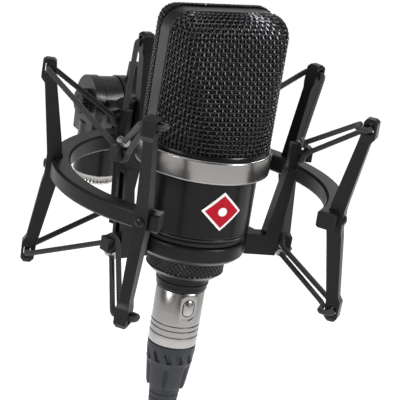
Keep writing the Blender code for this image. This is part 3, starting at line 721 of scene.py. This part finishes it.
boot = [(9.1, -73.5), (9.4, -73.8), (9.4, -76.4)] + run((9.35, -76.7), (9.0, -80.3), 8)
boot += [(9.1, -80.5), (9.0, -80.8)]
boot += run((8.9, -81.0), (7.6, -91.6), 14)
boot += [(7.3, BOOT_BOTTOM), (6.4, BOOT_BOTTOM), (7.4, -80.0), (7.4, -73.5)]
piece("ribbed_boot", lathe("ribbed_boot", boot, 216, boot_relief), RUBBER, "plug",
      stands_for=("plug_boot",))
sleeve = [(7.0, -77.0), (7.0, -80.0), (6.1, BOOT_BOTTOM + 0.3)]
for ring in range(5):
    z, r = BOOT_BOTTOM - 1.6 - 2.4 * ring, 6.0 - 0.2 * ring
    sleeve += [(r, z + 0.9), (r, z - 0.6), (r - 0.4, z - 0.8), (r - 0.45, z - 1.3)]
sleeve += [(5.0, SLEEVE_BOTTOM + 0.5), (4.6, SLEEVE_BOTTOM), (3.2, SLEEVE_BOTTOM), (3.2, -77.0)]
piece("strain_sleeve", lathe("strain_sleeve", sleeve, 96), RUBBER, "plug",
      stands_for=("boot_sleeve",))
for number, z in enumerate((-44.6, -47.2)):
    bead = [(10.25, z + 0.45), (10.35, z), (10.25, z - 0.45), (9.9, z - 0.6), (9.9, z + 0.6)]
    piece(f"stub_bead_{number}", lathe(f"stub_bead_{number}", bead), LACQUER, "cradle")


# ---- floor, light and camera ------------------------------------------------------------------

def studio_world():
    """Soft panels of light and shade round the object; the camera itself sees a plain pale ground."""
    world = bpy.data.worlds.new("studio")
    world.use_nodes = True
    nodes, links = world.node_tree.nodes, world.node_tree.links
    panels = nodes["Background"]
    place = nodes.new("ShaderNodeTexCoord")
    split = nodes.new("ShaderNodeSeparateXYZ")
    links.new(place.outputs["Generated"], split.inputs["Vector"])
    spread = nodes.new("ShaderNodeMapRange")
    spread.inputs["From Min"].default_value = -1.0
    links.new(split.outputs["X"], spread.inputs["Value"])
    ramp = nodes.new("ShaderNodeValToRGB")
    ramp.color_ramp.interpolation = "EASE"
    stops = ((0.0, 0.06), (0.14, 0.7), (0.3, 0.3), (0.42, 0.04), (0.6, 0.3), (0.78, 0.85), (0.9, 0.06),
             (1.0, 0.15))
    for at, level in stops:
        stop = ramp.color_ramp.elements.new(at)
        stop.color = (level, level, level * 1.02, 1)
    ramp.color_ramp.elements.remove(ramp.color_ramp.elements[0])
    ramp.color_ramp.elements.remove(ramp.color_ramp.elements[-1])
    links.new(spread.outputs["Result"], ramp.inputs["Fac"])
    links.new(ramp.outputs["Color"], panels.inputs["Color"])
    plain = nodes.new("ShaderNodeBackground")
    plain.inputs["Color"].default_value = (0.93, 0.94, 0.95, 1)
    path = nodes.new("ShaderNodeLightPath")
    either = nodes.new("ShaderNodeMixShader")
    links.new(path.outputs["Is Camera Ray"], either.inputs["Fac"])
    links.new(panels.outputs["Background"], either.inputs[1])
    links.new(plain.outputs["Background"], either.inputs[2])
    links.new(either.outputs["Shader"], nodes["World Output"].inputs["Surface"])
    return world


def studio():
    ground = bpy.data.meshes.new("floor")
    ground.from_pydata([(-9, -9, -0.6), (9, -9, -0.6), (9, 9, -0.6), (-9, 9, -0.6)], [], [(0, 1, 2, 3)])
    floor = bpy.data.objects.new("floor", ground)
    pale = bpy.data.materials.new("pale_floor")
    pale.use_nodes = True
    pale.node_tree.nodes["Principled BSDF"].inputs["Base Color"].default_value = (0.93, 0.93, 0.93, 1)
    pale.node_tree.nodes["Principled BSDF"].inputs["Roughness"].default_value = 0.9
    pale.node_tree.nodes["Principled BSDF"].inputs["Emission Color"].default_value = (1, 1, 1, 1)
    pale.node_tree.nodes["Principled BSDF"].inputs["Emission Strength"].default_value = 0.6
    ground.materials.append(pale)
    bpy.context.scene.collection.objects.link(floor)
    bpy.context.scene.world = studio_world()
    target = (AXIS + Vector((0, 10, 0))) * MM
    for name, place, size, power in (("key", (0.75, -1.0, 0.75), 0.35, 15),
                                     ("side", (-1.1, -0.35, 0.4), 0.35, 9),
                                     ("top", (-0.1, 0.1, 1.3), 0.8, 6), ("rim", (0.9, 0.5, 0.9), 0.3, 4)):
        light = bpy.data.lights.new(name, "AREA")
        light.size = size
        light.energy = power
        lamp = bpy.data.objects.new(name, light)
        lamp.location = place
        lamp.rotation_euler = (target - Vector(place)).to_track_quat("-Z", "Y").to_euler()
        bpy.context.scene.collection.objects.link(lamp)


def camera():
    """Looks past the ring from the front left, rolled a little, with the ring above the middle."""
    a, e = math.radians(AZIMUTH), math.radians(ELEVATION)
    back = Vector((math.sin(a) * math.cos(e), -math.cos(a) * math.cos(e), math.sin(e)))
    right = Vector((math.cos(a), math.sin(a), 0))
    level = Matrix((right, back.cross(right), back))
    aim = Vector((math.tan(math.radians(AIM_RIGHT)), math.tan(math.radians(AIM_UP)), -1)).normalized()
    turn = Vector((0, 0, -1)).rotation_difference(aim).to_matrix()
    seen = turn @ Matrix.Rotation(math.radians(ROLL), 3, "Z") @ level
    data = bpy.data.cameras.new("camera")
    data.lens = LENS
    data.clip_end = 30
    eye = bpy.data.objects.new("camera", data)
    facing = seen.transposed()
    eye.matrix_world = Matrix.Translation(AXIS * MM - facing @ (aim * DISTANCE)) @ facing.to_4x4()
    bpy.context.scene.collection.objects.link(eye)
    bpy.context.scene.camera = eye


studio()
camera()
bpy.context.scene.view_settings.view_transform = "Standard"
